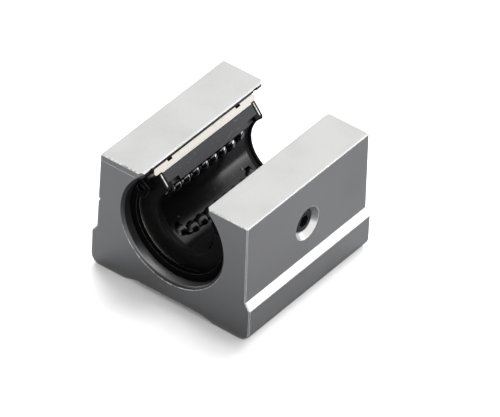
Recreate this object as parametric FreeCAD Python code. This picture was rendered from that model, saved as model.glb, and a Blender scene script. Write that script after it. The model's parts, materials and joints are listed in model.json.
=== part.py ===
import FreeCAD, Part
import math
import os

# Open linear bearing block for a 16 mm shaft, in millimetres.
#
# An extruded aluminium block carries a slotted ball bearing in its bore. The slot, in the
# top, lets the block pass the rail that supports the shaft. The bearing is a hardened
# sleeve, a moulded retainer with four closed ball tracks, and a seal at each end. A snap
# ring in the bore holds each end of it, and a set screw in the side wall stops it turning.
#
# Frame: origin at the centre of the mounting face, +Z up towards the slot, +Y along the
# shaft, +X towards the set screw. Angles round the shaft start at +Z and grow towards +X.

# Block
block_width = 45.0
block_length = 45.0
block_height = 32.0
shaft_height = 20.0
flange_height = 9.0
shoulder_inset = 1.35
shoulder_rise = 2.0
wall_lean = 0.4
top_edge_radius = 0.6
slot_edge_radius = 0.7
slot_corner_break = 1.0
foot_edge_radius = 2.5
shoulder_radius = 0.3
foot_relief_width = 25.2
foot_relief_floor = 18.0
foot_relief_depth = 1.0
foot_relief_radius = 0.8
end_edge_chamfer = 0.25
witness_groove_width = 1.4
witness_groove_depth = 0.7
witness_groove_drop = 1.0

# Threaded mounting holes, M5, drilled and tapped from the mounting face
hole_spacing_x = 32.0
hole_spacing_y = 30.0
hole_radius = 2.1
hole_depth = 12.5
hole_mouth_radius = 2.75
drill_point_angle = 118.0

# Shaft and slot
shaft_radius = 8.0
slot_angle = 80.0

# Bore, bearing and snap rings
bearing_radius = 14.0
bearing_length = 37.0
bore_chamfer = 0.65
bore_fit = 0.01
ring_thickness = 1.2
ring_groove_depth = 0.7
ring_side_play = 0.05
ring_seat_play = 0.05
ring_width_at_back = 2.6
ring_width_at_lugs = 2.1
ring_end_setback = 14.0
lug_arc = 20.0
lug_height = 4.3
lug_corner_radius = 1.0
plier_hole_radius = 1.0

# Sleeve
land_height = 1.0
land_side_play = 0.25
land_ramp = 1.2
land_ball_play = 0.015
land_root = 0.5
sleeve_edge_chamfer = 0.6
sleeve_mouth_chamfer = 0.3
sleeve_groove_width = 1.6
sleeve_groove_depth = 0.5
sleeve_groove_span = 26.5

# Balls and their closed tracks
ball_radius = 1.5875
ball_shaft_play = 0.01
ball_track_play = 0.06
ball_gap = 0.01
ball_sides = 8
ball_bands = 4
track_pitch_angle = 72.0
track_island = 0.98
track_run_length = 22.0
track_roof_play = 0.1
circuit_steps = (-2, -1, 1, 2)

# Retainer
retainer_shaft_gap = 0.5
retainer_play = 0.1
retainer_end_play = 0.05
latch_notch_length = 2.7
latch_notch_depth = 1.2

# Seals: a steel plate moulded into rubber
seal_thickness = 1.3
seal_recess = 0.9
seal_step = 0.3
seal_seat_play = 0.05
seal_shaft_gap = 0.6
seal_plate_thickness = 0.6
seal_rubber_hem = 0.35
seal_rubber_rim = 0.25
collar_length = 1.0
collar_height = 1.1
collar_play = 0.05
lip_land = 0.5
lip_shaft_play = 0.02

# Set screw, M6, hexagon socket and flat point
screw_radius = 2.95
screw_hole_play = 0.05
screw_length = 6.0
screw_tip_play = 0.02
screw_edge_chamfer = 0.7
socket_width = 3.0
socket_depth = 3.0
screw_mouth_radius = 4.2

# Construction: how far a cutting tool stands past what it cuts, and how near to its expected
# place an edge is looked for
tool_overshoot = 0.5
edge_match = 0.001

# Worked out from the sizes above
half_length = block_length / 2
slot_half_angle = slot_angle / 2
slot_half_width = bearing_radius * math.sin(math.radians(slot_half_angle))
bearing_end = bearing_length / 2
sleeve_radius = bearing_radius - bore_fit
load_radius = shaft_radius + ball_shaft_play + ball_radius
land_radius = load_radius + ball_radius + land_ball_play
relief_radius = land_radius + land_height
return_radius = relief_radius - ball_radius - track_roof_play
track_radius = ball_radius + ball_track_play
track_width = 2 * track_radius + track_island
land_half_angle = math.degrees(math.asin((track_radius - land_side_play) / relief_radius))
retainer_radius = relief_radius - retainer_play
retainer_inner_radius = shaft_radius + retainer_shaft_gap
collar_radius = retainer_inner_radius + collar_height
seal_face = bearing_end - seal_recess
seal_back = seal_face - seal_thickness
seal_radius = relief_radius + seal_step
seal_body_bore = shaft_radius + seal_shaft_gap
lip_radius = shaft_radius + lip_shaft_play
ring_end_angle = slot_half_angle + ring_end_setback
circuit_angles = [track_pitch_angle * step for step in circuit_steps]

# The angle between the two runs of a track, whose centre lines lie track_width apart
track_spread_angle = math.degrees(math.acos(
    (load_radius ** 2 + return_radius ** 2 - track_width ** 2) / (2 * load_radius * return_radius)))

AXIS = FreeCAD.Vector(0, 1, 0)
AXIS_POINT = FreeCAD.Vector(0, 0, shaft_height)
UP = FreeCAD.Vector(0, 0, 1)


def around_shaft(radius, angle, y=0.0):
    """Point at a radius and an angle round the shaft axis."""
    turn = math.radians(angle)
    return FreeCAD.Vector(radius * math.sin(turn), y, shaft_height + radius * math.cos(turn))


def turned(outline, start, sweep):
    """Solid swept round the shaft by an outline of (radius, y) points."""
    points = [around_shaft(radius, start, y) for radius, y in outline]
    face = Part.Face(Part.makePolygon(points + points[:1]))
    return face.revolve(AXIS_POINT, AXIS, sweep)


def open_turned(outline):
    """Turned solid that stops at both edges of the slot."""
    return turned(outline, slot_half_angle, 360.0 - slot_angle)


def rounded_wire(corners):
    """Closed wire through (point, corner radius) pairs, with an arc at each rounded corner."""
    entries = []
    for index, (point, radius) in enumerate(corners):
        before = corners[index - 1][0]
        after = corners[(index + 1) % len(corners)][0]
        back = (before - point).normalize()
        ahead = (after - point).normalize()
        half_turn = back.getAngle(ahead) / 2
        reach = radius / math.tan(half_turn) if radius else 0.0
        middle = (back + ahead).normalize() * (radius / math.sin(half_turn) - radius) if radius else None
        entries.append((point + back * reach, point + middle if radius else None, point + ahead * reach))
    edges = []
    for index, (start, middle, end) in enumerate(entries):
        if middle is not None:
            edges.append(Part.Arc(start, middle, end).toShape())
        following = entries[(index + 1) % len(entries)][0]
        edges.append(Part.LineSegment(end, following).toShape())
    return Part.Wire(edges)


# Housing block ------------------------------------------------------------------------

def block_outline():
    """Extrusion section on the plane of the front face, walked from the foot relief up and over."""
    shoulder_x = block_width / 2 - shoulder_inset
    right_side = [
        (foot_relief_floor / 2, foot_relief_depth, foot_relief_radius),
        (foot_relief_width / 2, 0.0, foot_relief_radius),
        (block_width / 2, 0.0, foot_edge_radius),
        (block_width / 2, flange_height, shoulder_radius),
        (shoulder_x, flange_height + shoulder_rise, shoulder_radius),
        (shoulder_x - wall_lean, block_height, top_edge_radius),
        (slot_half_width, block_height, slot_edge_radius),
        (slot_half_width, shaft_height, 0.0),
    ]
    left_side = [(-x, z, radius) for x, z, radius in reversed(right_side)]
    return [(FreeCAD.Vector(x, -half_length, z), radius) for x, z, radius in right_side + left_side]


def wall_x(z):
    """Half width of the leaning side wall at a height above the shoulder."""
    foot_of_wall = flange_height + shoulder_rise
    climbed = (z - foot_of_wall) / (block_height - foot_of_wall)
    return block_width / 2 - shoulder_inset - wall_lean * climbed


def extruded_block():
    """Extrusion cut to length, with the edges of both ends broken."""
    block = Part.Face(rounded_wire(block_outline())).extrude(FreeCAD.Vector(0, block_length, 0))
    end_edges = [edge for edge in block.Edges
                 if abs(abs(edge.CenterOfMass.y) - half_length) < edge_match
                 and edge.BoundBox.ZMax > foot_relief_depth + edge_match
                 and not (abs(edge.CenterOfMass.x) < slot_half_width + edge_match
                          and edge.BoundBox.ZMin > shaft_height - edge_match)]
    return block.makeChamfer(end_edge_chamfer, end_edges)


def slot_corner_tool(side_x, side_y):
    """Wedge that takes off the upright corner of the slot at one end of the block."""
    reach = slot_corner_break + 2 * tool_overshoot
    corner = FreeCAD.Vector(side_x * (slot_half_width - tool_overshoot),
                            side_y * (half_length + tool_overshoot), shaft_height)
    points = [
        corner,
        corner + FreeCAD.Vector(side_x * reach, 0, 0),
        corner - FreeCAD.Vector(0, side_y * reach, 0),
    ]
    wedge = Part.Face(Part.makePolygon(points + points[:1]))
    return wedge.extrude(UP * (block_height - shaft_height + tool_overshoot))


def bore_tool():
    """Bore through both ends, with a chamfered mouth and a snap ring groove at each end."""
    groove_outer = bearing_end + ring_thickness + 2 * ring_side_play
    groove_radius = bearing_radius + ring_groove_depth
    far_side = [
        (bearing_radius, bearing_end),
        (groove_radius, bearing_end),
        (groove_radius, groove_outer),
        (bearing_radius, groove_outer),
        (bearing_radius, half_length - bore_chamfer),
        (bearing_radius + bore_chamfer + tool_overshoot, half_length + tool_overshoot),
        (0.0, half_length + tool_overshoot),
    ]
    near_side = [(radius, -y) for radius, y in reversed(far_side)]
    return turned(near_side + far_side, 0.0, 360.0)


def mounting_hole_tool():
    """Tap drill with its point, and the countersunk mouth of the thread."""
    point_length = hole_radius / math.tan(math.radians(drill_point_angle / 2))
    drill = Part.makeCylinder(hole_radius, hole_depth)
    point = Part.makeCone(hole_radius, 0.0, point_length, FreeCAD.Vector(0, 0, hole_depth))
    mouth = Part.makeCone(hole_mouth_radius, hole_radius, hole_mouth_radius - hole_radius)
    return drill.fuse([point, mouth])


def screw_hole_tool():
    """Side hole from the wall into the bore at half length, countersunk from outside."""
    radius = screw_radius + screw_hole_play
    outside = wall_x(shaft_height)
    hole = Part.makeCylinder(radius, outside, FreeCAD.Vector(0, 0, shaft_height), FreeCAD.Vector(1, 0, 0))
    sink_depth = screw_mouth_radius - radius
    sink = Part.makeCone(radius, screw_mouth_radius + tool_overshoot, sink_depth + tool_overshoot,
                         FreeCAD.Vector(outside - sink_depth, 0, shaft_height), FreeCAD.Vector(1, 0, 0))
    return hole.fuse(sink)


def witness_groove_tool():
    """V groove along the wall away from the set screw, which marks the reference side."""
    level = shaft_height - witness_groove_drop
    wall = -wall_x(level)
    rise = witness_groove_width / 2
    lift = rise * (witness_groove_depth + tool_overshoot) / witness_groove_depth
    corners = [
        FreeCAD.Vector(wall - tool_overshoot, -half_length, level - lift),
        FreeCAD.Vector(wall - tool_overshoot, -half_length, level + lift),
        FreeCAD.Vector(wall + witness_groove_depth, -half_length, level),
    ]
    return Part.Face(Part.makePolygon(corners + corners[:1])).extrude(FreeCAD.Vector(0, block_length, 0))


def housing_block():
    tools = [bore_tool(), screw_hole_tool(), witness_groove_tool()]
    for side_x in (-1, 1):
        for side_y in (-1, 1):
            hole = mounting_hole_tool()
            hole.translate(FreeCAD.Vector(side_x * hole_spacing_x / 2, side_y * hole_spacing_y / 2, 0))
            tools.extend([hole, slot_corner_tool(side_x, side_y)])
    return extruded_block().cut(tools)


# Bearing sleeve -----------------------------------------------------------------------

def bearing_sleeve():
    """Hardened tube with two outer grooves, a relieved bore and a raised land over each loaded row."""
    groove_far = sleeve_groove_span / 2
    groove_near = groove_far - sleeve_groove_width
    groove_radius = sleeve_radius - sleeve_groove_depth
    far_side = [
        (sleeve_radius, groove_near),
        (groove_radius, groove_near),
        (groove_radius, groove_far),
        (sleeve_radius, groove_far),
        (sleeve_radius, bearing_end - sleeve_edge_chamfer),
        (sleeve_radius - sleeve_edge_chamfer, bearing_end),
        (seal_radius + sleeve_mouth_chamfer, bearing_end),
        (seal_radius, bearing_end - sleeve_mouth_chamfer),
        (seal_radius, seal_back),
        (relief_radius, seal_back),
    ]
    near_side = [(radius, -y) for radius, y in reversed(far_side)]
    tube = open_turned(near_side + far_side)
    root_radius = relief_radius + land_root
    run_end = track_run_length / 2
    ramp_end = run_end + land_ramp * (root_radius - land_radius) / (relief_radius - land_radius)
    land_outline = [
        (land_radius, -run_end),
        (land_radius, run_end),
        (root_radius, ramp_end),
        (root_radius, -ramp_end),
    ]
    loaded_offset = -track_spread_angle / 2
    lands = [turned(land_outline, angle + loaded_offset - land_half_angle, 2 * land_half_angle)
             for angle in circuit_angles]
    return tube.fuse(lands).removeSplitter()


# Ball tracks --------------------------------------------------------------------------

class BallTrack:
    """Closed track of one circuit, standing at the top of the shaft: a loaded run that touches
    the shaft, a return run further out, and a half circle that joins them at each end."""

    def __init__(self):
        self.loaded = around_shaft(load_radius, -track_spread_angle / 2)
        self.returned = around_shaft(return_radius, track_spread_angle / 2)
        chord = self.returned - self.loaded
        self.middle = (self.loaded + self.returned) * 0.5
        self.across = FreeCAD.Vector(chord).normalize()
        self.outward = self.across.cross(AXIS)
        self.turn_radius = chord.Length / 2
        self.half_run = track_run_length / 2
        self.length = 2 * track_run_length + 2 * math.pi * self.turn_radius

    def at(self, distance):
        """Point on the centre line, a distance along it from the middle of the loaded run."""
        run = track_run_length
        bend = math.pi * self.turn_radius
        distance = (distance + self.half_run) % self.length
        if distance < run:
            return self.loaded + AXIS * (distance - self.half_run)
        distance -= run
        if distance < bend:
            return self.on_bend(distance / self.turn_radius, 1)
        distance -= bend
        if distance < run:
            return self.returned + AXIS * (self.half_run - distance)
        return self.on_bend(math.pi - (distance - run) / self.turn_radius, -1)

    def on_bend(self, turn, end):
        """Point on the half circle at one end, turned from the loaded run towards the return run."""
        side = self.across * (-self.turn_radius * math.cos(turn))
        along = AXIS * (end * (self.half_run + self.turn_radius * math.sin(turn)))
        return self.middle + side + along

    def channel(self):
        """Space that the balls need: a closed groove, open outwards to the sleeve."""
        run = AXIS * track_run_length
        front_loaded = self.groove_section(self.loaded - AXIS * self.half_run)
        back_loaded = self.groove_section(self.loaded + AXIS * self.half_run)
        front_returned = self.groove_section(self.returned - AXIS * self.half_run)
        front_turn = self.middle - AXIS * self.half_run
        back_turn = self.middle + AXIS * self.half_run
        pieces = [
            front_loaded.extrude(run),
            front_returned.extrude(run),
            front_loaded.revolve(front_turn, self.outward, 180.0),
            back_loaded.revolve(back_turn, self.outward * -1, 180.0),
        ]
        return pieces[0].fuse(pieces[1:])

    def groove_section(self, centre):
        """Face across the track: straight open walls, and a floor in three flats round the ball."""
        flat_turn = 45.0
        half_flat = track_radius * math.tan(math.radians(flat_turn / 2))
        corners = [
            (-track_radius, bearing_radius),
            (-track_radius, -half_flat),
            (-half_flat, -track_radius),
            (half_flat, -track_radius),
            (track_radius, -half_flat),
            (track_radius, bearing_radius),
        ]
        points = [centre + self.across * x + self.outward * height for x, height in corners]
        return Part.Face(Part.makePolygon(points + points[:1]))


def last_true(low, high, test):
    """Value between two bounds up to which a test holds, found by halving."""
    for _ in range(40):
        guess = (low + high) / 2
        if test(guess):
            low = guess
        else:
            high = guess
    return low


def ball_places(track):
    """Ball centres round a track, as many as fit, each the same distance from the next."""

    def next_place(distance, step):
        here = track.at(distance)
        return last_true(distance, distance + 2 * step, lambda guess: (track.at(guess) - here).Length < step)

    def walk(count, step):
        places = [0.0]
        for _ in range(count):
            places.append(next_place(places[-1], step))
        return places

    tight = 2 * ball_radius + ball_gap
    count = 1
    while walk(count + 1, tight)[-1] <= track.length:
        count += 1
    even = last_true(tight, 2 * tight, lambda step: walk(count, step)[-1] <= track.length)
    return [track.at(distance) for distance in walk(count - 1, even)]


def ball(centre):
    """Ball drawn with flats to keep the model light. Its two poles are exact, and they are the
    points that touch the shaft and the sleeve."""
    foot = FreeCAD.Vector(0, centre.y, shaft_height)
    pole = (centre - foot).normalize()
    sideways = AXIS.cross(pole)

    def corner(band, side):
        tilt = math.pi * band / ball_bands
        turn = 2 * math.pi * side / ball_sides
        level = AXIS * math.cos(turn) + sideways * math.sin(turn)
        return centre + (level * math.sin(tilt) - pole * math.cos(tilt)) * ball_radius

    faces = []
    for side in range(ball_sides):
        for band in range(ball_bands):
            corners = [corner(band, side), corner(band + 1, side)]
            if band < ball_bands - 1:
                corners.append(corner(band + 1, side + 1))
            if band > 0:
                corners.append(corner(band, side + 1))
            faces.append(Part.Face(Part.makePolygon(corners + corners[:1])))
    return Part.Solid(Part.Shell(faces))


def ball_circuit(track, angle):
    """The loose balls of one circuit."""
    circuit = Part.makeCompound([ball(centre) for centre in ball_places(track)])
    circuit.rotate(AXIS_POINT, AXIS, angle)
    return circuit


# Ball retainer ------------------------------------------------------------------------

def ball_retainer(track):
    """Moulded cage: a thick open tube with a channel for each circuit. A channel breaks through
    the bore along its loaded run, in a slot narrower than a ball."""
    body_end = seal_back - retainer_end_play
    collar_end = seal_back - collar_length - collar_play
    far_side = [
        (retainer_radius, body_end),
        (collar_radius + collar_play, body_end),
        (collar_radius + collar_play, collar_end),
        (retainer_inner_radius, collar_end),
    ]
    near_side = [(radius, -y) for radius, y in reversed(far_side)]
    tools = []
    for angle in circuit_angles:
        channel = track.channel()
        channel.rotate(AXIS_POINT, AXIS, angle)
        tools.append(channel)
    return open_turned(near_side + far_side).cut(tools + latch_notches(collar_end))


def latch_notches(collar_end):
    """Small notches in both cut faces beside the seal collars, on the bore side."""
    depth_angle = math.degrees(latch_notch_depth / collar_radius)
    notches = []
    for end in (-1, 1):
        outline = [
            (retainer_inner_radius - tool_overshoot, end * (collar_end - latch_notch_length)),
            (collar_radius, end * (collar_end - latch_notch_length)),
            (collar_radius, end * (collar_end + collar_play)),
            (retainer_inner_radius - tool_overshoot, end * (collar_end + collar_play)),
        ]
        notches.append(turned(outline, slot_half_angle - depth_angle, 2 * depth_angle))
        notches.append(turned(outline, -slot_half_angle - depth_angle, 2 * depth_angle))
    return notches


# Seals --------------------------------------------------------------------------------

def seal_plate_outline(end):
    middle = seal_face - seal_thickness / 2
    outer = seal_radius - seal_seat_play - seal_rubber_rim
    return [
        (seal_body_bore + seal_rubber_hem, end * (middle - seal_plate_thickness / 2)),
        (outer, end * (middle - seal_plate_thickness / 2)),
        (outer, end * (middle + seal_plate_thickness / 2)),
        (seal_body_bore + seal_rubber_hem, end * (middle + seal_plate_thickness / 2)),
    ]


def seal_plate(end):
    """Pressed steel stiffener inside a seal."""
    return open_turned(seal_plate_outline(end))


def seal_rubber(end):
    """Rubber round the plate, with a wiping lip on the shaft and a collar into the retainer."""
    middle = seal_face - seal_thickness / 2
    outline = [
        (seal_body_bore, seal_face),
        (seal_radius - seal_seat_play, seal_face),
        (seal_radius - seal_seat_play, seal_back),
        (collar_radius, seal_back),
        (collar_radius, seal_back - collar_length),
        (retainer_inner_radius, seal_back - collar_length),
        (retainer_inner_radius, seal_back),
        (lip_radius, middle - lip_land / 2),
        (lip_radius, middle + lip_land / 2),
    ]
    body = open_turned([(radius, end * y) for radius, y in outline])
    return body.cut(seal_plate(end))


# Snap rings ---------------------------------------------------------------------------

def snap_ring(end):
    """Internal snap ring, narrower towards its ends, with a lug and a plier hole at each end."""
    near_face = end * (bearing_end + ring_side_play)
    outer_radius = bearing_radius + ring_groove_depth - ring_seat_play
    inner_radius = outer_radius - (ring_width_at_back + ring_width_at_lugs) / 2
    inner_centre = AXIS_POINT + UP * ((ring_width_at_back - ring_width_at_lugs) / 2)
    thickness = AXIS * (end * ring_thickness)
    start = AXIS * near_face

    disc = Part.Face(Part.Wire(Part.makeCircle(outer_radius, AXIS_POINT + start, AXIS)))
    hole = Part.Face(Part.Wire(Part.makeCircle(inner_radius, inner_centre + start, AXIS)))
    gap_reach = 2 * outer_radius
    gap = Part.Face(Part.makePolygon([
        AXIS_POINT + start,
        around_shaft(gap_reach, -ring_end_angle, near_face),
        around_shaft(gap_reach, ring_end_angle, near_face),
        AXIS_POINT + start,
    ]))
    ring = disc.cut([hole, gap]).extrude(thickness)
    for side in (-1, 1):
        ring = ring.fuse(ring_lug(side, near_face, outer_radius).extrude(thickness))
    ring = ring.removeSplitter()
    corners = [edge for edge in ring.Edges if is_lug_corner(edge, outer_radius)]
    ring = ring.makeFillet(lug_corner_radius, corners)
    lug_middle = ring_end_angle + lug_arc / 2
    holes = [Part.makeCylinder(plier_hole_radius, 4 * ring_thickness,
                               around_shaft(outer_radius - lug_height / 2, side * lug_middle,
                                            near_face - 2 * ring_thickness), AXIS)
             for side in (-1, 1)]
    return ring.cut(holes)


def ring_lug(side, y, outer_radius):
    """Face of one lug, a piece of a wider ring beside the gap."""
    wide = Part.Face(Part.Wire(Part.makeCircle(outer_radius, AXIS_POINT + AXIS * y, AXIS)))
    hollow = Part.Face(Part.Wire(Part.makeCircle(outer_radius - lug_height, AXIS_POINT + AXIS * y, AXIS)))
    reach = 2 * outer_radius
    wedge = Part.Face(Part.makePolygon([
        AXIS_POINT + AXIS * y,
        around_shaft(reach, side * ring_end_angle, y),
        around_shaft(reach, side * (ring_end_angle + lug_arc), y),
        AXIS_POINT + AXIS * y,
    ]))
    return wide.cut(hollow).common(wedge)


def is_lug_corner(edge, outer_radius):
    """True for the short edges along Y at the free corners of a lug."""
    if abs(edge.BoundBox.YLength - ring_thickness) > edge_match or edge.BoundBox.XLength > edge_match:
        return False
    place = edge.CenterOfMass
    radius = math.hypot(place.x, place.z - shaft_height)
    return radius < outer_radius - lug_height + edge_match


# Set screw ----------------------------------------------------------------------------

def set_screw():
    """Headless screw, its point on the sleeve and its socket outwards."""
    tip = bearing_radius + screw_tip_play
    along = FreeCAD.Vector(1, 0, 0)
    small = screw_radius - screw_edge_chamfer
    outline = [
        (0.0, 0.0),
        (small, 0.0),
        (screw_radius, screw_edge_chamfer),
        (screw_radius, screw_length - screw_edge_chamfer / 2),
        (screw_radius - screw_edge_chamfer / 2, screw_length),
        (0.0, screw_length),
    ]
    points = [FreeCAD.Vector(tip + x, 0, shaft_height + radius) for radius, x in outline]
    body = Part.Face(Part.makePolygon(points + points[:1])).revolve(AXIS_POINT, along, 360.0)
    corner_radius = socket_width / math.sqrt(3)
    corners = []
    for step in range(7):
        turn = math.radians(60 * step)
        corners.append(FreeCAD.Vector(tip + screw_length - socket_depth, corner_radius * math.cos(turn),
                                      shaft_height + corner_radius * math.sin(turn)))
    socket = Part.Face(Part.makePolygon(corners)).extrude(along * (socket_depth + tool_overshoot))
    return body.cut(socket)


# Assembly -----------------------------------------------------------------------------

def build_nodes():
    track = BallTrack()
    nodes = {
        "housing_block": housing_block(),
        "bearing_sleeve": bearing_sleeve(),
        "ball_retainer": ball_retainer(track),
        "set_screw": set_screw(),
    }
    for number, angle in enumerate(circuit_angles, start=1):
        nodes[f"ball_circuit_{number}"] = ball_circuit(track, angle)
    for side, end in (("front", -1), ("rear", 1)):
        nodes[f"{side}_seal_plate"] = seal_plate(end)
        nodes[f"{side}_seal_rubber"] = seal_rubber(end)
        nodes[f"{side}_snap_ring"] = snap_ring(end)
    return nodes


os.makedirs("parts", exist_ok=True)
for name, shape in build_nodes().items():
    shape.exportStep(f"parts/{name}.step")
    print(name, "solids", len(shape.Solids), "volume", round(shape.Volume, 2), "valid", shape.isValid())
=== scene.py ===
import json
import math

import bpy
from mathutils import Matrix, Vector


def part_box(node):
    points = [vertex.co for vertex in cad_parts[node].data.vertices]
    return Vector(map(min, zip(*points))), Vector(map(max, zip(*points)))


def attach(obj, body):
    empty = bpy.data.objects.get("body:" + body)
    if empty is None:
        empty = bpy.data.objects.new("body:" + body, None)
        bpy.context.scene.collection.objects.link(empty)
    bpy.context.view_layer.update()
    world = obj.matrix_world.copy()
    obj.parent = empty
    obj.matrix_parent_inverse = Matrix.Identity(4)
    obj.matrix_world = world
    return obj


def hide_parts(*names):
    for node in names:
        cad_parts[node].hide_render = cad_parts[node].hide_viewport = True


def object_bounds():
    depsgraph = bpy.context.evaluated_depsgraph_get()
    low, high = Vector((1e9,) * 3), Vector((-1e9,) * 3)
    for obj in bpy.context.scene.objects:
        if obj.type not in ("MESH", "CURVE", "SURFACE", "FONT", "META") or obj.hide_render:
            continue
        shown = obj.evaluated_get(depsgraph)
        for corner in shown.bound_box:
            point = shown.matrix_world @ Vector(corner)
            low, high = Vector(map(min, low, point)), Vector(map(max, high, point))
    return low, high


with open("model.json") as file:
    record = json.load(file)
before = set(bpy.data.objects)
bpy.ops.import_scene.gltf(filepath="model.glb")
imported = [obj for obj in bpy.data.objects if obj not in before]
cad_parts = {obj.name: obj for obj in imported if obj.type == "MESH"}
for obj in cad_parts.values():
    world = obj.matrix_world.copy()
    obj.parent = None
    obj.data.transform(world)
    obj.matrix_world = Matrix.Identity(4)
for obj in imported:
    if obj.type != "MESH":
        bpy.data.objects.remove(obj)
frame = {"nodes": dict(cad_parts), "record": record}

cad_box = [list(corner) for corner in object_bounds()]

# ---------------------------------------------------------------------------
# Housing block: one length of extruded aluminium, sawn off, its ends milled
# flat, blasted and clear anodised, and last bored and ring-grooved on a lathe.
# The walls keep faint lines along the extrusion, the ends faint cutter lines.
# ---------------------------------------------------------------------------
MM = 0.001
block_low, block_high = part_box("housing_block")
sleeve_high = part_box("bearing_sleeve")[1]
shaft_bore = frame["record"]["mounts"][0]
shaft_place = shaft_bore["pos_m"]


def new_finish(name):
    """A new material with its Principled shader and no other nodes but the output."""
    finish = bpy.data.materials.new(name)
    finish.use_nodes = True
    tree = finish.node_tree
    tree.nodes.clear()
    shader = tree.nodes.new("ShaderNodeBsdfPrincipled")
    output = tree.nodes.new("ShaderNodeOutputMaterial")
    tree.links.new(shader.outputs["BSDF"], output.inputs["Surface"])
    return finish, tree, shader


def feed(tree, value, socket):
    """Puts a number, colour or another node's output on a socket."""
    if isinstance(value, bpy.types.NodeSocket):
        tree.links.new(value, socket)
    else:
        socket.default_value = value


def calc(tree, operation, *values):
    """A Math node."""
    step = tree.nodes.new("ShaderNodeMath")
    step.operation = operation
    for value, socket in zip(values, step.inputs):
        feed(tree, value, socket)
    return step.outputs[0]


def product(tree, *masks):
    """Masks multiplied together, so that every one of them has to hold."""
    together = masks[0]
    for mask in masks[1:]:
        together = calc(tree, "MULTIPLY", together, mask)
    return together


def distance(tree, across, upwards):
    """How far a spot lies from an axis, from its two offsets square to the axis."""
    return calc(
        tree, "SQRT",
        calc(tree, "ADD", product(tree, across, across), product(tree, upwards, upwards)),
    )


def split(tree, vector):
    """A vector's parts, as outputs named X, Y and Z."""
    step = tree.nodes.new("ShaderNodeSeparateXYZ")
    tree.links.new(vector, step.inputs["Vector"])
    return step.outputs


def ramp(tree, value, low, high, start=0.0, end=1.0):
    """Maps low..high to start..end, held at both ends."""
    step = tree.nodes.new("ShaderNodeMapRange")
    feed(tree, value, step.inputs["Value"])
    step.inputs["From Min"].default_value = low
    step.inputs["From Max"].default_value = high
    step.inputs["To Min"].default_value = start
    step.inputs["To Max"].default_value = end
    return step.outputs["Result"]


def blend(tree, share, first, second):
    """A colour mixed from two by a mask."""
    step = tree.nodes.new("ShaderNodeMix")
    step.data_type = "RGBA"
    feed(tree, share, step.inputs["Factor"])
    feed(tree, first, step.inputs["A"])
    feed(tree, second, step.inputs["B"])
    return step.outputs["Result"]


def mapped(tree, centre=(0, 0, 0), turn=(0, 0, 0), scale=(1, 1, 1)):
    """Object coordinates measured from a centre, turned and scaled."""
    place = tree.nodes.new("ShaderNodeTexCoord")
    shift = tree.nodes.new("ShaderNodeMapping")
    shift.vector_type = "TEXTURE"
    shift.inputs["Location"].default_value = centre
    shift.inputs["Rotation"].default_value = turn
    stretch = tree.nodes.new("ShaderNodeVectorMath")
    stretch.operation = "MULTIPLY"
    stretch.inputs[1].default_value = scale
    tree.links.new(place.outputs["Object"], shift.inputs["Vector"])
    tree.links.new(shift.outputs["Vector"], stretch.inputs[0])
    return stretch.outputs["Vector"]


def noise(tree, vector, scale, detail=3.0, roughness=0.5):
    """A Noise texture's value."""
    step = tree.nodes.new("ShaderNodeTexNoise")
    tree.links.new(vector, step.inputs["Vector"])
    step.inputs["Scale"].default_value = scale
    step.inputs["Detail"].default_value = detail
    step.inputs["Roughness"].default_value = roughness
    return step.outputs["Fac"]


def bumped(tree, height, distance, strength=1.0, under=None):
    """A Bump node's normal; under is the normal that it starts from."""
    step = tree.nodes.new("ShaderNodeBump")
    step.inputs["Strength"].default_value = strength
    step.inputs["Distance"].default_value = distance
    tree.links.new(height, step.inputs["Height"])
    if under is not None:
        tree.links.new(under, step.inputs["Normal"])
    return step.outputs["Normal"]


def new_effect(name, inputs, outputs):
    """An empty shader node group with number inputs and the given outputs."""
    group = bpy.data.node_groups.new(name, "ShaderNodeTree")
    for label, value in inputs:
        socket = group.interface.new_socket(label, in_out="INPUT", socket_type="NodeSocketFloat")
        socket.default_value = value
    for label, kind in outputs:
        group.interface.new_socket(label, in_out="OUTPUT", socket_type=kind)
    return group, group.nodes.new("NodeGroupInput"), group.nodes.new("NodeGroupOutput")


def add_effect(tree, group, **values):
    """Places an effect group in a material with its own values."""
    step = tree.nodes.new("ShaderNodeGroup")
    step.node_tree = group
    for label, value in values.items():
        feed(tree, value, step.inputs[label.replace("_", " ")])
    return step


# worn and highlit edges: where a rounded-off normal leaves the flat one, the finish is rubbed thin, and
# the same mask paints a highlight along the edges
worn_edges, ins, outs = new_effect(
    "worn_edges",
    [("Radius", 0.2 * MM), ("Patchiness", 0.5)],
    [("Mask", "NodeSocketFloat"), ("Normal", "NodeSocketVector")],
)
rounded = worn_edges.nodes.new("ShaderNodeBevel")
rounded.samples = 6
worn_edges.links.new(ins.outputs["Radius"], rounded.inputs["Radius"])
flat = worn_edges.nodes.new("ShaderNodeNewGeometry")
turning = worn_edges.nodes.new("ShaderNodeVectorMath")
turning.operation = "DOT_PRODUCT"
worn_edges.links.new(rounded.outputs["Normal"], turning.inputs[0])
worn_edges.links.new(flat.outputs["Normal"], turning.inputs[1])
bend = ramp(worn_edges, turning.outputs["Value"], 0.995, 0.9)
patches = noise(worn_edges, mapped(worn_edges), 900.0, 4.0, 0.6)
kept = product(worn_edges, ramp(worn_edges, patches, 0.35, 0.65), ins.outputs["Patchiness"])
wear_and_highlight_mask = product(worn_edges, bend, calc(worn_edges, "SUBTRACT", 1.0, kept))
worn_edges.links.new(wear_and_highlight_mask, outs.inputs["Mask"])
worn_edges.links.new(rounded.outputs["Normal"], outs.inputs["Normal"])

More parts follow.
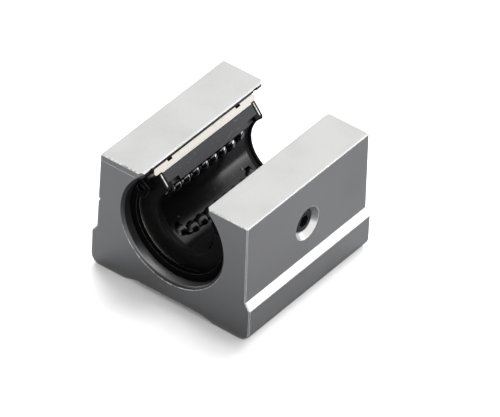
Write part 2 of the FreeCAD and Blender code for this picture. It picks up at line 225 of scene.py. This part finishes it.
# blasted pits: the fine even grain that glass beads leave on soft metal
blasted_pits, ins, outs = new_effect(
    "blasted_pits",
    [("Size", 1.0)],
    [("Height", "NodeSocketFloat"), ("Cloud", "NodeSocketFloat")],
)
sized = blasted_pits.nodes.new("ShaderNodeVectorMath")
sized.operation = "SCALE"
blasted_pits.links.new(mapped(blasted_pits), sized.inputs[0])
blasted_pits.links.new(ins.outputs["Size"], sized.inputs["Scale"])
grain = noise(blasted_pits, sized.outputs["Vector"], 5200.0, 2.0)
cloud = noise(blasted_pits, sized.outputs["Vector"], 90.0, 3.0)
blasted_pits.links.new(grain, outs.inputs["Height"])
blasted_pits.links.new(cloud, outs.inputs["Cloud"])

# cut threads: ridges that climb round a hole's axis, none outside the hole
cut_thread, ins, outs = new_effect(
    "cut_thread",
    [
        ("Across", 0.0), ("Upwards", 0.0), ("Along", 0.0),
        ("Pitch", 0.8 * MM), ("Reach", 2.2 * MM), ("Start", 0.0), ("End", 0.0),
    ],
    [("Height", "NodeSocketFloat")],
)
across_hole, up_hole, along_hole = (ins.outputs[label] for label in ("Across", "Upwards", "Along"))
from_axis = distance(cut_thread, across_hole, up_hole)
turns = calc(cut_thread, "DIVIDE", along_hole, ins.outputs["Pitch"])
climb = calc(cut_thread, "MULTIPLY", turns, 2 * math.pi)
round_axis = calc(cut_thread, "ARCTAN2", up_hole, across_hole)
helix = calc(cut_thread, "SINE", calc(cut_thread, "ADD", climb, round_axis))
inside = product(
    cut_thread,
    calc(cut_thread, "LESS_THAN", from_axis, ins.outputs["Reach"]),
    calc(cut_thread, "GREATER_THAN", along_hole, ins.outputs["Start"]),
    calc(cut_thread, "LESS_THAN", along_hole, ins.outputs["End"]),
)
cut_thread.links.new(product(cut_thread, helix, inside), outs.inputs["Height"])

ALUMINIUM = (0.505, 0.503, 0.500, 1.0)
BARE_AND_HIGHLIT_ALUMINIUM = (0.84, 0.84, 0.83, 1.0)
HANDLING_GREY = (0.478, 0.477, 0.473, 1.0)
PIT_GREY = (0.34, 0.34, 0.34, 1.0)
SHADED_BORE = (0.13, 0.13, 0.134, 1.0)
GRAIN_RELIEF = 0.01 * MM
CUTTER_CENTRE = (20.0 * MM, 0, -60.0 * MM)
block_finish, tree, shader = new_finish("blasted_aluminium")
edges = add_effect(tree, worn_edges, Radius=0.28 * MM, Patchiness=0.5)
pits = add_effect(tree, blasted_pits, Size=1.0)
normal = tree.nodes.new("ShaderNodeNewGeometry")
facing = split(tree, normal.outputs["True Normal"])
spot = split(tree, mapped(tree))
on_end = calc(tree, "GREATER_THAN", calc(tree, "ABSOLUTE", facing["Y"]), 0.9)
extrusion_lines = noise(tree, mapped(tree, scale=(1, 0.012, 1)), 2600.0, 3.0, 0.6)
milled = mapped(tree, centre=CUTTER_CENTRE, turn=(0, 0.6, 0), scale=(1, 0, 0.03))
cutter_lines = noise(tree, milled, 2400.0, 2.0)
marks = blend(tree, on_end, extrusion_lines, cutter_lines)

# a thin line painted bright across the front face, a little under its top edge, on the side of the marking
# groove: a painted highlight, with the relief of a scribed line
SCRIBE_DROP = 1.75 * MM
SCRIBE_HALF = 0.06 * MM
SCRIBE_LENGTH = 12.0 * MM
SCRIBE_RELIEF = 0.04 * MM
scribe_level = block_high.z - SCRIBE_DROP
from_scribe = calc(tree, "ABSOLUTE", calc(tree, "SUBTRACT", spot["Z"], scribe_level))
scribed_highlight = product(
    tree,
    on_end,
    ramp(tree, from_scribe, SCRIBE_HALF, 0.0),
    calc(tree, "LESS_THAN", spot["Y"], 0.0),
    calc(tree, "LESS_THAN", spot["X"], block_low.x + SCRIBE_LENGTH),
    ramp(tree, pits.outputs["Cloud"], 0.35, 0.55, 0.35, 1.0),
)

# threads in the four mounting holes, M5, and in the side hole, M6
M5_PITCH = 0.8 * MM
M5_REACH = 2.2 * MM
M5_START = 0.4 * MM
M5_END = 11.5 * MM
M6_PITCH = 1.0 * MM
M6_REACH = 3.05 * MM
THREAD_RELIEF = 0.22 * MM
holes = frame["record"]["mounts"][1]
half_x = holes["dims"]["spacing_x_mm"] * MM / 2
half_y = holes["dims"]["spacing_y_mm"] * MM / 2
mount_threads = add_effect(
    tree, cut_thread,
    Across=calc(tree, "SUBTRACT", calc(tree, "ABSOLUTE", spot["X"]), half_x),
    Upwards=calc(tree, "SUBTRACT", calc(tree, "ABSOLUTE", spot["Y"]), half_y),
    Along=spot["Z"], Pitch=M5_PITCH, Reach=M5_REACH, Start=M5_START, End=M5_END,
)
side_thread = add_effect(
    tree, cut_thread,
    Across=spot["Y"],
    Upwards=calc(tree, "SUBTRACT", spot["Z"], shaft_place[2]),
    Along=spot["X"], Pitch=M6_PITCH, Reach=M6_REACH, Start=sleeve_high.x, End=block_high.x,
)
threads = calc(tree, "ADD", mount_threads.outputs["Height"], side_thread.outputs["Height"])

# the bore and its chamfer are turned last: ringed by the tool, a little rougher, a burr at the rim,
# painted bright as a painted highlight that grows brighter towards the bottom
BORE_RIM = sleeve_high.x + 0.66 * MM
RIM_MARGIN = 0.02 * MM
SLOT_SHARE = 0.78
BURR_GLINT_EDGE, BURR_GLINT_CORE = 0.11 * MM, 0.04 * MM
BURR_GLINT_TOP, BURR_GLINT_BOTTOM = -2.0 * MM, -10.0 * MM  # heights from the shaft's axis
axis_spot = split(tree, mapped(tree, centre=shaft_place))
from_shaft = distance(tree, axis_spot["X"], axis_spot["Z"])
below_slot = calc(tree, "LESS_THAN", axis_spot["Z"], SLOT_SHARE * BORE_RIM)
turned_here = product(tree, calc(tree, "LESS_THAN", from_shaft, BORE_RIM + RIM_MARGIN), below_slot)
tool_rings = noise(tree, mapped(tree, scale=(0, 1, 0)), 9000.0, 2.0)
from_rim = calc(tree, "ABSOLUTE", calc(tree, "SUBTRACT", from_shaft, BORE_RIM))
# painted highlight along the rim, on the burr, brightest towards the bottom
burr_glint = product(
    tree,
    ramp(tree, from_rim, BURR_GLINT_EDGE, BURR_GLINT_CORE),
    ramp(tree, axis_spot["Z"], BURR_GLINT_TOP, BURR_GLINT_BOTTOM, 0.1, 1.0),
    ramp(tree, noise(tree, mapped(tree), 3400.0, 2.0, 0.6), 0.45, 0.56, 0.15, 1.0),
)

# the chamfer and the bore's wall are painted dark, all but a strip along the bottom: painted shade
CHAMFER_START, CHAMFER_FULL = 0.06 * MM, 0.26 * MM
UNSHADED_BELOW, SHADED_ABOVE = -13.2 * MM, -9.0 * MM
handled_and_shaded = blend(tree, ramp(tree, pits.outputs["Cloud"], 0.45, 0.75), ALUMINIUM, HANDLING_GREY)
past_sleeve = ramp(tree, from_shaft, sleeve_high.x + CHAMFER_START, sleeve_high.x + CHAMFER_FULL)
on_chamfer = product(tree, turned_here, past_sleeve)
off_bottom = ramp(tree, axis_spot["Z"], UNSHADED_BELOW, SHADED_ABOVE)
painted_bore_shade = calc(tree, "MAXIMUM", on_chamfer, product(tree, turned_here, off_bottom))
handled_and_shaded = blend(tree, painted_bore_shade, handled_and_shaded, SHADED_BORE)

# small dark pits are scattered over the blasted skin
specks = ramp(tree, noise(tree, mapped(tree), 2400.0, 5.0, 0.8), 0.57, 0.68, 0.0, 0.55)
specks = product(tree, specks, calc(tree, "SUBTRACT", 1.0, turned_here))
handled_and_shaded = blend(tree, specks, handled_and_shaded, PIT_GREY)

# the finish is painted bright along the edges, most on the bevels at the top of each end, not at the bore:
# partly rubbed wear, partly a painted highlight
BORE_MARGIN = 0.4 * MM
near_bore = product(tree, calc(tree, "LESS_THAN", from_shaft, BORE_RIM + BORE_MARGIN), below_slot)
off_bore = calc(tree, "SUBTRACT", 1.0, near_bore)
on_bevel = calc(tree, "COMPARE", calc(tree, "ABSOLUTE", facing["Y"]), math.sqrt(0.5), 0.1)
on_top_edge = product(tree, on_bevel, calc(tree, "GREATER_THAN", facing["Z"], 0.5))
nicks_and_glints = ramp(tree, noise(tree, mapped(tree), 2200.0, 3.0, 0.7), 0.42, 0.56, 0.25, 1.0)
rubbed_and_highlit = calc(tree, "MAXIMUM", edges.outputs["Mask"], product(tree, on_top_edge, nicks_and_glints))
rubbed_and_highlit = product(tree, rubbed_and_highlit, off_bore)
bright = calc(tree, "MAXIMUM", calc(tree, "MAXIMUM", rubbed_and_highlit, scribed_highlight), burr_glint)
tree.links.new(blend(tree, bright, handled_and_shaded, BARE_AND_HIGHLIT_ALUMINIUM), shader.inputs["Base Color"])
tree.links.new(ramp(tree, bright, 0.0, 1.0, 1.0, 0.1), shader.inputs["Metallic"])
rough = ramp(tree, pits.outputs["Cloud"], 0.3, 0.7, 0.33, 0.42)
rough = calc(tree, "ADD", rough, calc(tree, "MULTIPLY", bright, 0.10))
rough = calc(tree, "ADD", rough, calc(tree, "MULTIPLY", turned_here, 0.06))
tree.links.new(rough, shader.inputs["Roughness"])
skin = blend(tree, near_bore, edges.outputs["Normal"], normal.outputs["Normal"])
relief = bumped(tree, pits.outputs["Height"], GRAIN_RELIEF, 0.8, skin)
relief = bumped(tree, marks, GRAIN_RELIEF, 0.35, relief)
relief = bumped(tree, product(tree, tool_rings, turned_here), GRAIN_RELIEF, 0.4, relief)
relief = bumped(tree, calc(tree, "ADD", scribed_highlight, burr_glint), SCRIBE_RELIEF, 0.8, relief)
relief = bumped(tree, threads, THREAD_RELIEF, 1.0, relief)
tree.links.new(relief, shader.inputs["Normal"])


def finish_node(name, finish):
    """Gives a part that keeps its own mesh its finish."""
    for place in frame["nodes"][name].material_slots:
        place.material = finish


finish_node("housing_block", block_finish)

# ---------------------------------------------------------------------------
# Bearing sleeve: hardened bearing steel, ground outside, slit along its length
# and held in the block by the snap rings. The slit's cut faces are bare steel.
# ---------------------------------------------------------------------------
STEEL_CUT = (0.43, 0.413, 0.388, 1.0)
STEEL_DARK = (0.30, 0.27, 0.245, 1.0)
FINE_EDGE = 0.12 * MM
sleeve_finish, tree, shader = new_finish("ground_bearing_steel")
edges = add_effect(tree, worn_edges, Radius=FINE_EDGE, Patchiness=0.3)
grinding = noise(tree, mapped(tree, scale=(1, 0.02, 1)), 3000.0, 3.0, 0.6)
stain = noise(tree, mapped(tree), 380.0, 4.0, 0.6)
tree.links.new(
    blend(tree, ramp(tree, stain, 0.62, 0.78), STEEL_CUT, STEEL_DARK), shader.inputs["Base Color"]
)
shader.inputs["Metallic"].default_value = 1.0
tree.links.new(ramp(tree, grinding, 0.3, 0.7, 0.26, 0.4), shader.inputs["Roughness"])
tree.links.new(bumped(tree, grinding, GRAIN_RELIEF, 0.4, edges.outputs["Normal"]), shader.inputs["Normal"])
finish_node("bearing_sleeve", sleeve_finish)

# ---------------------------------------------------------------------------
# Ball retainer: moulded black plastic with the closed ball tracks in it, held
# in the sleeve by the seals. Its bore is glossy, its cut faces scuffed grey.
# ---------------------------------------------------------------------------
PLASTIC = (0.0015, 0.0015, 0.0018, 1.0)
SAWN_PLASTIC = (0.012, 0.011, 0.014, 1.0)
SCUFFED_PLASTIC = (0.055, 0.054, 0.058, 1.0)
CUT_LEVEL = 5.5 * MM
retainer_finish, tree, shader = new_finish("moulded_black_plastic")
edges = add_effect(tree, worn_edges, Radius=FINE_EDGE, Patchiness=0.8)
normal = tree.nodes.new("ShaderNodeNewGeometry")
facing = split(tree, normal.outputs["True Normal"])
spot = split(tree, mapped(tree))
on_cut = product(
    tree,
    calc(tree, "GREATER_THAN", facing["Z"], 0.6),
    calc(tree, "GREATER_THAN", spot["Z"], shaft_place[2] + CUT_LEVEL),
)
scuffs = noise(tree, mapped(tree, scale=(1, 0.25, 1)), 900.0, 4.0, 0.7)
scratched = product(tree, on_cut, ramp(tree, scuffs, 0.58, 0.72))
plastic = blend(tree, on_cut, PLASTIC, SAWN_PLASTIC)
tree.links.new(blend(tree, scratched, plastic, SCUFFED_PLASTIC), shader.inputs["Base Color"])
rough = ramp(tree, scuffs, 0.35, 0.65, 0.20, 0.25)
rough = calc(tree, "ADD", rough, calc(tree, "MULTIPLY", on_cut, 0.10))
tree.links.new(rough, shader.inputs["Roughness"])
shader.inputs["Specular IOR Level"].default_value = 0.38
grain = product(tree, scuffs, ramp(tree, on_cut, 0.0, 1.0, 0.05, 1.0))
tree.links.new(bumped(tree, grain, GRAIN_RELIEF, 0.4, edges.outputs["Normal"]), shader.inputs["Normal"])
finish_node("ball_retainer", retainer_finish)

# ---------------------------------------------------------------------------
# Bearing balls: through-hardened chrome steel, lapped and polished, seventeen
# to a circuit, loose in their tracks. Their colour is painted darker away from the shaft,
# and darker still in the lower circuits: painted shade.
# ---------------------------------------------------------------------------
BALL_STEEL = (0.30, 0.30, 0.31, 1.0)
BALL_SHADE = (0.012, 0.011, 0.010, 1.0)
SHADE_START, SHADE_FULL = 0.05 * MM, 0.75 * MM
SHADE_EDGE = 0.1 * MM
LOWER_SHADE_DEPTH = 3.0 * MM
BALL_CUTS = 7
MERGE_DISTANCE = 1e-6
shaft_radius = shaft_bore["dims"]["r_mm"] * MM
ball_finish, tree, shader = new_finish("polished_chrome_steel")
haze = noise(tree, mapped(tree), 1500.0, 2.0)
spot = split(tree, mapped(tree, centre=shaft_place))
from_shaft = distance(tree, spot["X"], spot["Z"])
ragged = ramp(tree, haze, 0.3, 0.7, -SHADE_EDGE, SHADE_EDGE)
from_shaft = calc(tree, "ADD", from_shaft, ragged)
# painted shade: darker away from the shaft, inside the tracks, and darker in the lower circuits
painted_ball_shade = ramp(tree, from_shaft, shaft_radius + SHADE_START, shaft_radius + SHADE_FULL)
lower_circuit_shade = ramp(tree, spot["Z"], 0.0, -LOWER_SHADE_DEPTH, 0.0, 0.86)
painted_ball_shade = calc(tree, "MAXIMUM", painted_ball_shade, lower_circuit_shade)
tree.links.new(blend(tree, painted_ball_shade, BALL_STEEL, BALL_SHADE), shader.inputs["Base Color"])
tree.links.new(ramp(tree, painted_ball_shade, 0.0, 1.0, 0.07, 0.22), shader.inputs["Roughness"])
shader.inputs["Metallic"].default_value = 1.0


def deselect():
    """Clears the selection, so that the next operator acts on one thing."""
    for part in list(bpy.context.selected_objects):
        part.select_set(False)


def select_only(part):
    """Selects one thing and makes it the active one."""
    deselect()
    part.select_set(True)
    bpy.context.view_layer.objects.active = part


# the frame's flat-sided balls give the centres and the radius; one round ball is swelled from a
# divided cube, and the others of its circuit are copies of it. They come out at 1.29 times that
# radius: CAST takes no notice of its size while use_radius_as_size is on, which is its default
for circuit in ("ball_circuit_1", "ball_circuit_2", "ball_circuit_3", "ball_circuit_4"):
    rough_balls = frame["nodes"][circuit]
    finder = bpy.data.objects.new(circuit + "_finder", rough_balls.data.copy())
    bpy.context.scene.collection.objects.link(finder)
    select_only(finder)
    bpy.ops.object.mode_set(mode="EDIT")
    bpy.ops.mesh.select_all(action="SELECT")
    bpy.ops.mesh.remove_doubles(threshold=MERGE_DISTANCE)
    bpy.ops.mesh.separate(type="LOOSE")
    bpy.ops.object.mode_set(mode="OBJECT")
    found = list(bpy.context.selected_objects)
    balls = []
    for piece in found:
        corners = [Vector(v.co) for v in piece.data.vertices]
        low = Vector([min(c[k] for c in corners) for k in range(3)])
        high = Vector([max(c[k] for c in corners) for k in range(3)])
        balls.append((low + high) / 2)
    radius = max((c - balls[-1]).length for c in corners)
    deselect()
    for piece in found:
        bpy.data.objects.remove(piece)
    bpy.ops.mesh.primitive_cube_add(size=2 * radius, location=balls[0])
    first = bpy.context.active_object
    bpy.ops.object.mode_set(mode="EDIT")
    bpy.ops.mesh.subdivide(number_cuts=BALL_CUTS)
    bpy.ops.object.mode_set(mode="OBJECT")
    swell = first.modifiers.new("swell", "CAST")
    swell.factor = 1.0
    swell.size = radius
    bpy.ops.object.modifier_apply(modifier="swell")
    bpy.ops.object.shade_smooth()
    bpy.ops.object.transform_apply(location=True, rotation=True, scale=True)
    copies = [first]
    for centre in balls[1:]:
        copy = bpy.data.objects.new("ball", first.data.copy())
        bpy.context.scene.collection.objects.link(copy)
        copy.data.transform(Matrix.Translation(centre - balls[0]))
        copies.append(copy)
    select_only(first)
    for copy in copies:
        copy.select_set(True)
    bpy.ops.object.join()
    first.name = "polished_balls_" + circuit[-1]
    first.data.materials.append(ball_finish)
    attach(first, "root")
    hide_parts(circuit)

# ---------------------------------------------------------------------------
# Seal plates: punched steel washers that stiffen the seals. The rubber leaves
# them bare only at the cut ends of the slit.
# ---------------------------------------------------------------------------
PLATE_STEEL = (0.52, 0.52, 0.52, 1.0)
PLATE_MARGIN = (0.004, 0.004, 0.004, 1.0)
SMEAR_START, SMEAR_FULL = 0.13 * MM, 0.18 * MM
SMEAR_EDGE = 0.04 * MM
plate_low, plate_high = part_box("rear_seal_plate")
plate_middle = (plate_low.y + plate_high.y) / 2
plate_finish, tree, shader = new_finish("punched_steel_sheet")
streaks = noise(tree, mapped(tree, scale=(1, 1, 0.1)), 2500.0, 3.0)

# rubber is smeared raggedly over both rims of each bare end
spot = split(tree, mapped(tree))
from_middle = calc(tree, "SUBTRACT", calc(tree, "ABSOLUTE", spot["Y"]), plate_middle)
ragged = ramp(tree, streaks, 0.3, 0.7, -SMEAR_EDGE, SMEAR_EDGE)
ragged = calc(tree, "ADD", calc(tree, "ABSOLUTE", from_middle), ragged)
smeared = ramp(tree, ragged, SMEAR_START, SMEAR_FULL)
bare = blend(tree, ramp(tree, streaks, 0.4, 0.7), PLATE_STEEL, STEEL_DARK)
tree.links.new(blend(tree, smeared, bare, PLATE_MARGIN), shader.inputs["Base Color"])
tree.links.new(calc(tree, "SUBTRACT", 1.0, smeared), shader.inputs["Metallic"])
shader.inputs["Specular IOR Level"].default_value = 0.2
tree.links.new(ramp(tree, streaks, 0.3, 0.7, 0.3, 0.45), shader.inputs["Roughness"])
tree.links.new(bumped(tree, streaks, GRAIN_RELIEF, 0.3), shader.inputs["Normal"])
for end in ("front", "rear"):
    finish_node(end + "_seal_plate", plate_finish)

# ---------------------------------------------------------------------------
# Seal rubbers: nitrile rubber moulded round the plates, with the lip that
# wipes the shaft and the collar that sits in the retainer.
# ---------------------------------------------------------------------------
RUBBER = (0.0020, 0.0020, 0.0023, 1.0)
RUBBER_BLOOM = (0.005, 0.005, 0.0055, 1.0)
rubber_finish, tree, shader = new_finish("moulded_nitrile_rubber")
edges = add_effect(tree, worn_edges, Radius=0.15 * MM, Patchiness=0.5)
bloom = noise(tree, mapped(tree), 700.0, 4.0, 0.6)
tree.links.new(
    blend(tree, ramp(tree, bloom, 0.4, 0.7), RUBBER, RUBBER_BLOOM), shader.inputs["Base Color"]
)
tree.links.new(ramp(tree, bloom, 0.3, 0.7, 0.42, 0.6), shader.inputs["Roughness"])
shader.inputs["Specular IOR Level"].default_value = 0.12
skin = noise(tree, mapped(tree), 4000.0, 2.0)
tree.links.new(bumped(tree, skin, GRAIN_RELIEF, 0.5, edges.outputs["Normal"]), shader.inputs["Normal"])
for end in ("front", "rear"):
    finish_node(end + "_seal_rubber", rubber_finish)

# ---------------------------------------------------------------------------
# Snap rings: spring steel, blanked from sheet, phosphated black and oiled,
# sprung into the grooves of the bore so that the bearing can't walk out.
# ---------------------------------------------------------------------------
PHOSPHATE = (0.0022, 0.0021, 0.0021, 1.0)
RUBBED_AND_HIGHLIT_STEEL = (0.22, 0.21, 0.20, 1.0)
ring_finish, tree, shader = new_finish("phosphated_spring_steel")
edges = add_effect(tree, worn_edges, Radius=FINE_EDGE, Patchiness=0.7)
mottle = noise(tree, mapped(tree), 1800.0, 4.0, 0.65)
# the edges are painted lighter: rubbed steel, and a painted highlight
tree.links.new(
    blend(tree, calc(tree, "MULTIPLY", edges.outputs["Mask"], 0.6), PHOSPHATE, RUBBED_AND_HIGHLIT_STEEL),
    shader.inputs["Base Color"],
)
tree.links.new(ramp(tree, edges.outputs["Mask"], 0.0, 1.0, 0.0, 0.8), shader.inputs["Metallic"])
shader.inputs["Specular IOR Level"].default_value = 0.02
tree.links.new(ramp(tree, mottle, 0.3, 0.7, 0.34, 0.5), shader.inputs["Roughness"])
tree.links.new(bumped(tree, mottle, GRAIN_RELIEF, 0.5, edges.outputs["Normal"]), shader.inputs["Normal"])
for end in ("front", "rear"):
    finish_node(end + "_snap_ring", ring_finish)

# ---------------------------------------------------------------------------
# Set screw: blackened steel with a hexagon socket, turned in from the side to
# bear on the sleeve and take up its play on the shaft.
# ---------------------------------------------------------------------------
BLACK_OXIDE = (0.012, 0.012, 0.014, 1.0)
screw_finish, tree, shader = new_finish("blackened_screw_steel")
edges = add_effect(tree, worn_edges, Radius=FINE_EDGE, Patchiness=0.6)
mottle = noise(tree, mapped(tree), 2200.0, 3.0, 0.6)
# the edges are painted lighter: rubbed steel, and a painted highlight
tree.links.new(
    blend(tree, calc(tree, "MULTIPLY", edges.outputs["Mask"], 0.5), BLACK_OXIDE, RUBBED_AND_HIGHLIT_STEEL),
    shader.inputs["Base Color"],
)
tree.links.new(ramp(tree, mottle, 0.3, 0.7, 0.28, 0.42), shader.inputs["Roughness"])
shader.inputs["Metallic"].default_value = 0.5
tree.links.new(edges.outputs["Normal"], shader.inputs["Normal"])
finish_node("set_screw", screw_finish)

# ---------------------------------------------------------------------------
# Studio: a wide sheet of pale paper under the block, a soft sky brightest at
# the horizon behind it to the right, and one large soft lamp high behind it
# to the left.
# ---------------------------------------------------------------------------
PAPER_WIDTH = 12.0
PAPER_DROP = 0.03 * MM
PAPER_DULL = (0.92, 0.92, 0.92, 1.0)
PAPER_BRIGHT = (0.95, 0.95, 0.95, 1.0)
PAPER_MIRRORED = (0.175, 0.178, 0.186, 1.0)
SEE_THROUGH = 1.3 * MM
HALF_CLEAR = (0.5, 0.5, 0.5, 1.0)
ALL_CLEAR = (1.0, 1.0, 1.0, 1.0)
bpy.ops.mesh.primitive_plane_add(size=PAPER_WIDTH, location=(0, 0, block_low.z - PAPER_DROP))
floor = bpy.context.active_object
floor.name = "studio_floor"
floor_finish, tree, shader = new_finish("pale_paper")
pale = blend(tree, noise(tree, mapped(tree), 400.0, 2.0), PAPER_DULL, PAPER_BRIGHT)
ray = tree.nodes.new("ShaderNodeLightPath")
# for glossy rays the paper is painted a dark grey: painted shade in what the metal reflects
paper = blend(tree, ray.outputs["Is Glossy Ray"], pale, PAPER_MIRRORED)
tree.links.new(paper, shader.inputs["Base Color"])
shader.inputs["Roughness"].default_value = 0.9
shader.inputs["Specular IOR Level"].default_value = 0.0

# the paper is clear from beneath, and to light that has come less than SEE_THROUGH, which it
# halves, so that the block's underside is lit and can be looked at
side = tree.nodes.new("ShaderNodeNewGeometry")
close_by = product(
    tree,
    calc(tree, "LESS_THAN", ray.outputs["Ray Length"], SEE_THROUGH),
    calc(tree, "SUBTRACT", 1.0, ray.outputs["Is Camera Ray"]),
)
clear = tree.nodes.new("ShaderNodeBsdfTransparent")
tint = blend(tree, ray.outputs["Is Camera Ray"], HALF_CLEAR, ALL_CLEAR)
tree.links.new(tint, clear.inputs["Color"])
either = tree.nodes.new("ShaderNodeMixShader")
tree.links.new(calc(tree, "MAXIMUM", side.outputs["Backfacing"], close_by), either.inputs["Fac"])
tree.links.new(shader.outputs["BSDF"], either.inputs[1])
tree.links.new(clear.outputs["BSDF"], either.inputs[2])
surface = next(step for step in tree.nodes if step.bl_idname == "ShaderNodeOutputMaterial")
tree.links.new(either.outputs["Shader"], surface.inputs["Surface"])
floor.data.materials.append(floor_finish)

# the sky: dim towards the viewer, brighter behind the block, with a patch and a horizon that glow
SKY_TOWARDS = Vector((0.64, 0.75, -0.12)).normalized()
PATCH_GLOW = 2.6
HORIZON_GLOW = 2.6
HORIZON_HEIGHT = 0.18
sky = bpy.data.worlds.new("studio_sky")
bpy.context.scene.world = sky
sky.use_nodes = True
tree = sky.node_tree
tree.nodes.clear()
aim = tree.nodes.new("ShaderNodeTexCoord")
towards = tree.nodes.new("ShaderNodeVectorMath")
towards.operation = "DOT_PRODUCT"
towards.inputs[1].default_value = SKY_TOWARDS
tree.links.new(aim.outputs["Generated"], towards.inputs[0])
near_side = ramp(tree, towards.outputs["Value"], -0.75, 0.10, 0.05, 1.60)
far_side = ramp(tree, towards.outputs["Value"], 0.87, 1.0, 0.0, PATCH_GLOW)
level_off = calc(tree, "ABSOLUTE", split(tree, aim.outputs["Generated"])["Z"])
horizon = ramp(tree, level_off, 0.0, HORIZON_HEIGHT, HORIZON_GLOW, 0.0)
glow = tree.nodes.new("ShaderNodeBackground")
strength = calc(tree, "ADD", horizon, calc(tree, "ADD", near_side, far_side))
tree.links.new(strength, glow.inputs["Color"])
world_out = tree.nodes.new("ShaderNodeOutputWorld")
tree.links.new(glow.outputs["Background"], world_out.inputs["Surface"])

LAMP_TOWARDS = Vector((-0.45, 0.72, 0.80))
lamp = bpy.data.lights.new("overhead_lamp", "SUN")
lamp.energy = 4.2
lamp.angle = math.radians(60)
overhead_lamp = bpy.data.objects.new("overhead_lamp", lamp)
bpy.context.scene.collection.objects.link(overhead_lamp)
overhead_lamp.rotation_euler = LAMP_TOWARDS.to_track_quat("Z", "Y").to_euler()
overhead_lamp.visible_glossy = False

# the camera looks down on the slot from the front right, level but for a slight lean
AZIMUTH, ELEVATION, LEAN = math.radians(35.65), math.radians(39.11), math.radians(2.97)
DISTANCE, LENS = 1.65, 526.7
FARTHEST = 50.0
OFF_CENTRE = (3.924 * MM, -2.226 * MM)
middle = (Vector(cad_box[0]) + Vector(cad_box[1])) / 2
back = Vector((
    math.sin(AZIMUTH) * math.cos(ELEVATION),
    -math.cos(AZIMUTH) * math.cos(ELEVATION),
    math.sin(ELEVATION),
))
level = Vector((math.cos(AZIMUTH), math.sin(AZIMUTH), 0))
upright = back.cross(level)
across = math.cos(LEAN) * level + math.sin(LEAN) * upright
upwards = -math.sin(LEAN) * level + math.cos(LEAN) * upright
eye = middle + across * OFF_CENTRE[0] + upwards * OFF_CENTRE[1] + back * DISTANCE
camera = bpy.data.objects.new("camera", bpy.data.cameras.new("camera"))
bpy.context.scene.collection.objects.link(camera)
camera.data.lens = LENS
camera.data.clip_end = FARTHEST
turned = Matrix((across, upwards, back)).transposed().to_4x4()
camera.matrix_world = Matrix.Translation(eye) @ turned
bpy.context.scene.camera = camera
bpy.context.scene.view_settings.view_transform = "Standard"
